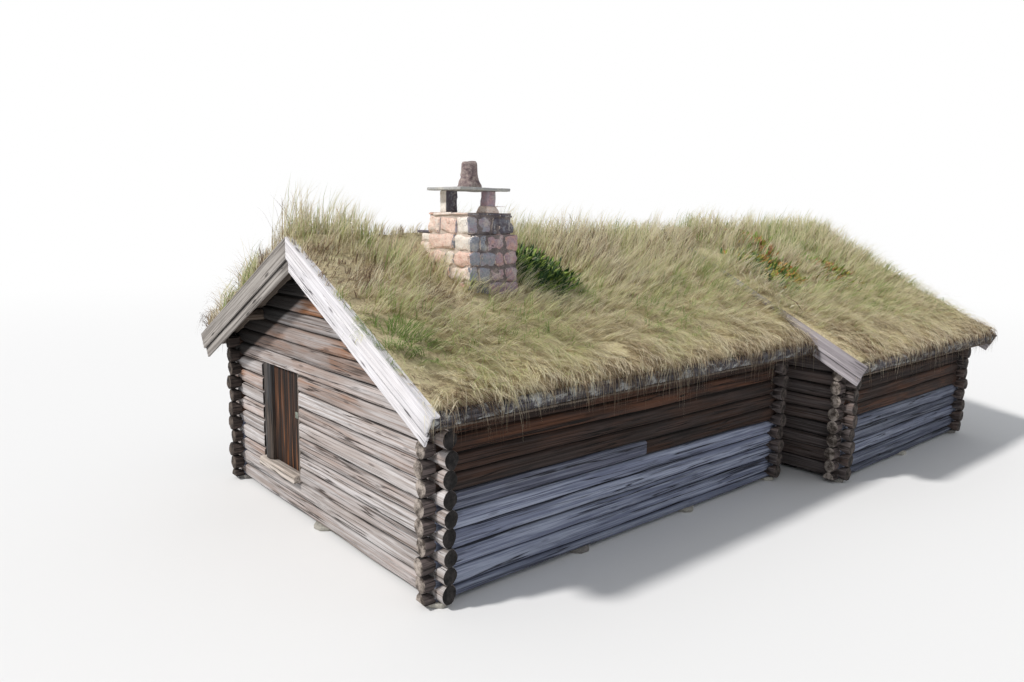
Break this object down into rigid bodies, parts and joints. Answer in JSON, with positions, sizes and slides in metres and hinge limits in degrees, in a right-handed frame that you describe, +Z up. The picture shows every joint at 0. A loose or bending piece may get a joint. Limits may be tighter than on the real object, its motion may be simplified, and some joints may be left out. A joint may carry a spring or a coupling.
{
  "type": "turf-roofed log house",
  "caption": "Low notched-log house with a turf roof, a stone chimney, a plank door in its gable and a wider log house behind it under the same ridge.",
  "frame": {"origin": "on the ground, below the middle of the whole house", "axes": "+Z up, +X to the right of the door gable, +Y from the door gable to the rear house"},
  "size_m": [8.0352, 13.36, 4.9733],
  "materials": {
    "gable_logs": "weathered silver-grey logs",
    "side_logs": "dark weathered logs",
    "roof_wood": "old sawn and round wood",
    "floor_wood": "worn boards",
    "bargeboard": "bleached grey boards",
    "door_wood": "rough dark brown boards",
    "post_wood": "grey hewn post",
    "iron": "rusty forged iron",
    "turf": "grass turf",
    "foundation": "field stone",
    "masonry": "rough pink and grey stone",
    "slab_stone": "thin slab and crown stone"
  },
  "bodies": {
    "house": {"front_wall_base": "gable_logs", "front_wall_left": "gable_logs", "front_wall_right": "gable_logs", "front_gable": "gable_logs", "door_sill": "gable_logs", "left_wall": "side_logs", "right_wall": "side_logs", "back_wall": "side_logs", "rear_front_wall": "side_logs", "rear_left_wall": "side_logs", "rear_right_wall": "side_logs", "rear_back_wall": "side_logs", "front_purlins": "roof_wood", "rear_purlins": "roof_wood", "front_boards_left": "roof_wood", "front_boards_right": "roof_wood", "rear_boards_left": "roof_wood", "rear_boards_right": "roof_wood", "front_eave_logs": "roof_wood", "rear_eave_logs": "roof_wood", "floor_boards": "floor_wood", "floor_joists": "floor_wood", "front_bargeboards": "bargeboard", "front_cap_boards": "bargeboard", "middle_bargeboards": "bargeboard", "back_bargeboards": "bargeboard", "door_jamb": "door_wood", "door_post": "post_wood", "door_pintles": "iron", "front_turf_left": "turf", "front_turf_right": "turf", "rear_turf_left": "turf", "rear_turf_right": "turf", "foundation_front": "foundation", "foundation_rear": "foundation", "chimney_foot": "masonry", "chimney_stack": "masonry", "chimney_shoulder": "masonry", "chimney_piers": "masonry", "chimney_slab": "slab_stone", "chimney_crown": "slab_stone"},
    "door": {"door_leaf": "door_wood", "door_straps": "iron", "door_latch": "iron"}
  },
  "joints": [
    {"name": "door_hinge", "type": "hinge", "parent": "house", "child": "door", "pos_m": [-1.455, -6.2, 1.3], "axis": [0, 0, 1], "range_deg": [0, 90]}
  ]
}
